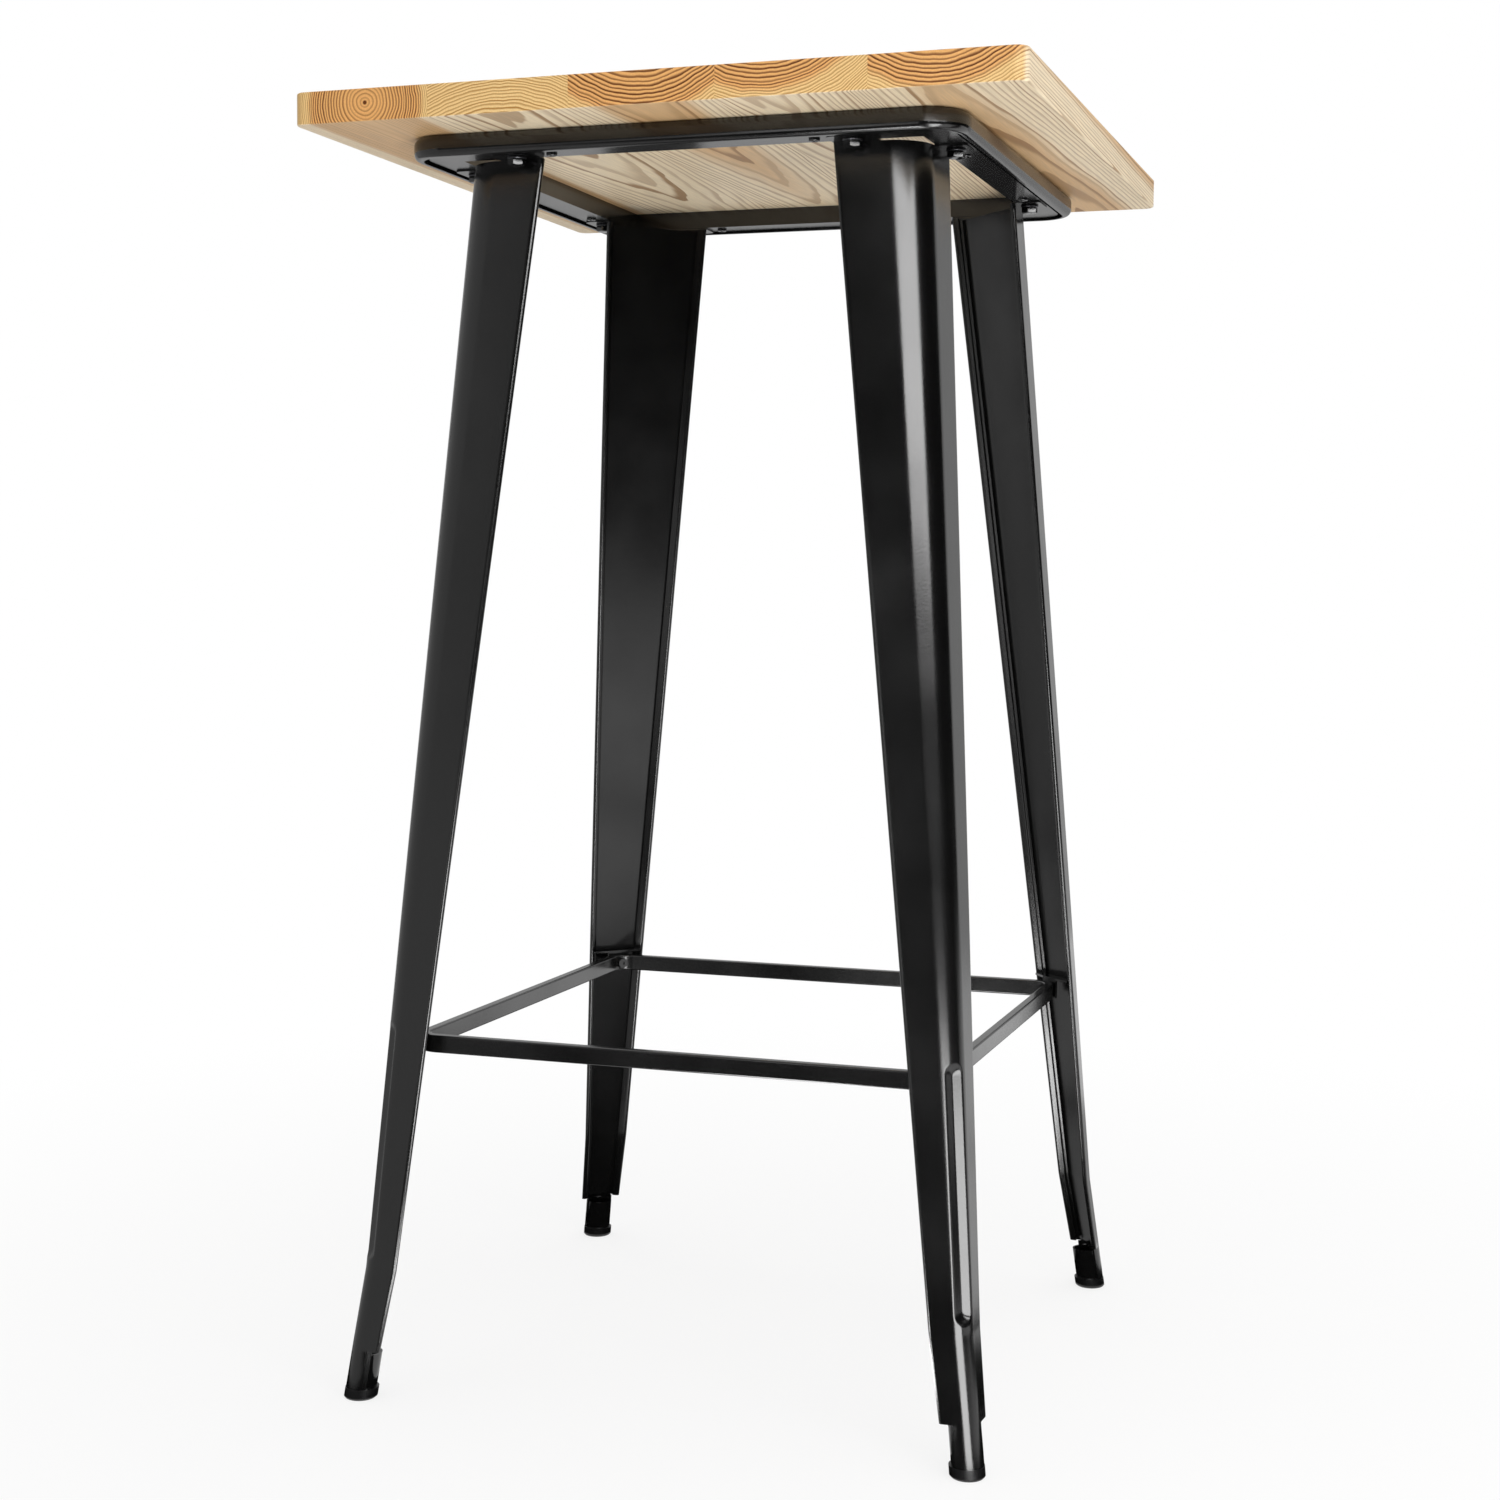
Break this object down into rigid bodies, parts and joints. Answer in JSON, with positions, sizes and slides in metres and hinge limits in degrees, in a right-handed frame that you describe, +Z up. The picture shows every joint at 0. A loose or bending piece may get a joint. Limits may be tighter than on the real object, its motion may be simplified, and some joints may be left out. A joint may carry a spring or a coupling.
{
  "type": "pub table",
  "caption": "Square bar-height pub table with an edge-glued wood top on a black steel frame, splayed pressed legs and a bar footrest.",
  "frame": {"origin": "floor level, under the middle of the top", "axes": "+Z up, -Y towards the front edge that shows the end grain, +X to the right along that edge"},
  "size_m": [0.6, 0.6, 1.08],
  "materials": {
    "wood_top": "clear satin lacquer",
    "black_steel": "black satin powder coat",
    "foot_steel": "black gloss paint",
    "glide_plastic": "black moulded plastic",
    "fastener_steel": "blackened steel"
  },
  "bodies": {
    "root": {"top_stave_1": "wood_top", "top_stave_2": "wood_top", "top_stave_3": "wood_top", "top_stave_4": "wood_top", "top_stave_5": "wood_top", "frame_rim_front": "black_steel", "frame_rail_front": "black_steel", "frame_rim_right": "black_steel", "frame_rail_right": "black_steel", "frame_rim_back": "black_steel", "frame_rail_back": "black_steel", "frame_rim_left": "black_steel", "frame_rail_left": "black_steel", "leg_front_left": "black_steel", "leg_inner_plate_front_left": "black_steel", "footrest_gusset_front_left": "black_steel", "foot_tube_front_left": "foot_steel", "foot_glide_front_left": "glide_plastic", "leg_front_right": "black_steel", "leg_inner_plate_front_right": "black_steel", "footrest_gusset_front_right": "black_steel", "foot_tube_front_right": "foot_steel", "foot_glide_front_right": "glide_plastic", "leg_back_left": "black_steel", "leg_inner_plate_back_left": "black_steel", "footrest_gusset_back_left": "black_steel", "foot_tube_back_left": "foot_steel", "foot_glide_back_left": "glide_plastic", "leg_back_right": "black_steel", "leg_inner_plate_back_right": "black_steel", "footrest_gusset_back_right": "black_steel", "foot_tube_back_right": "foot_steel", "foot_glide_back_right": "glide_plastic", "footrest_ring": "black_steel", "leg_bolts": "fastener_steel", "leg_bolt_washers": "fastener_steel", "leg_bolt_nuts": "fastener_steel", "top_screws": "fastener_steel", "footrest_screws": "fastener_steel", "footrest_nuts": "fastener_steel"}
  },
  "joints": []
}
